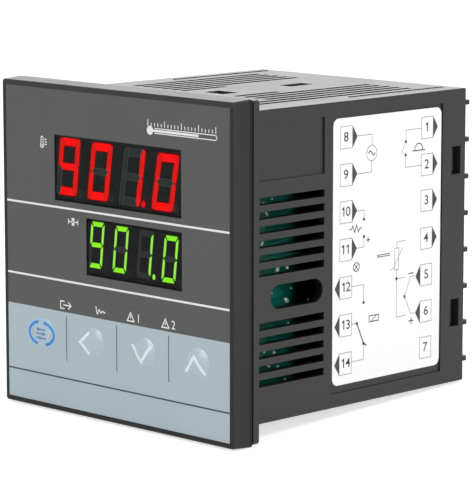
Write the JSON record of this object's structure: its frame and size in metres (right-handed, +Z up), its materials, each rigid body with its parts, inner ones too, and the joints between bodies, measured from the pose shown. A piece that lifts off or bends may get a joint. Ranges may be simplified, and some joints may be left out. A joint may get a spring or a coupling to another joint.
{
  "type": "panel-mounted temperature controller",
  "caption": "Square panel-mounted temperature controller with a glowing process display over a set-point display, domed keys, a vented black case and rear screw terminals.",
  "frame": {"origin": "centre of the panel opening, in the plane of the flange's seat on the panel's front", "axes": "+X to the right seen from the front, +Y back into the panel along the case, +Z up"},
  "size_m": [0.072, 0.0817, 0.072],
  "materials": {
    "black_abs": "satin moulded black plastic",
    "printed_film": "dark grey and silver printed film",
    "key_film": "silver printed film, domed",
    "smoked_window": "smoked clear plastic",
    "display_face": "black seven-segment module with red and green digits",
    "lamp_resin": "tinted clear resin",
    "circuit_board": "green solder mask",
    "paper_label": "white printed label",
    "ferrite": "dull dark grey",
    "winding": "yellow tape over copper wire",
    "can_sleeve": "dark shrink sleeve",
    "relay_shell": "blue moulded shell",
    "black_resin": "matte black resin",
    "white_nylon": "natural nylon",
    "zinc_steel": "bright zinc plate",
    "brass_contact": "tinned brass"
  },
  "bodies": {
    "housing": {"front_bezel": "black_abs", "case": "black_abs", "rear_cover": "black_abs", "terminal_strip_right": "black_abs", "terminal_strip_left": "black_abs", "front_overlay": "printed_film", "pv_window": "smoked_window", "sv_window": "smoked_window", "pv_display": "display_face", "sv_display": "display_face", "indicator_leds": "lamp_resin", "display_board": "circuit_board", "power_board": "circuit_board", "io_board": "circuit_board", "side_label": "paper_label", "transformer_core": "ferrite", "transformer_winding": "winding", "input_capacitor": "can_sleeve", "output_capacitor": "can_sleeve", "output_relay": "relay_shell", "alarm_relay": "relay_shell", "microcontroller": "black_resin", "board_headers": "black_resin", "terminal_screws": "zinc_steel", "clamp_plates": "zinc_steel", "terminal_contacts": "brass_contact", "set_switch": "black_resin", "shift_switch": "black_resin", "down_switch": "black_resin", "up_switch": "black_resin"},
    "set_button": {"set_key": "key_film", "set_plunger": "white_nylon"},
    "shift_button": {"shift_key": "key_film", "shift_plunger": "white_nylon"},
    "down_button": {"down_key": "key_film", "down_plunger": "white_nylon"},
    "up_button": {"up_key": "key_film", "up_plunger": "white_nylon"}
  },
  "joints": [
    {"name": "set_press", "type": "slide", "parent": "housing", "child": "set_button", "axis": [0, 1, 0], "range_m": [0, 0.0003], "stiffness_N_per_m": 2000, "springref_m": -0.0003},
    {"name": "shift_press", "type": "slide", "parent": "housing", "child": "shift_button", "axis": [0, 1, 0], "range_m": [0, 0.0003], "stiffness_N_per_m": 2000, "springref_m": -0.0003},
    {"name": "down_press", "type": "slide", "parent": "housing", "child": "down_button", "axis": [0, 1, 0], "range_m": [0, 0.0003], "stiffness_N_per_m": 2000, "springref_m": -0.0003},
    {"name": "up_press", "type": "slide", "parent": "housing", "child": "up_button", "axis": [0, 1, 0], "range_m": [0, 0.0003], "stiffness_N_per_m": 2000, "springref_m": -0.0003}
  ]
}
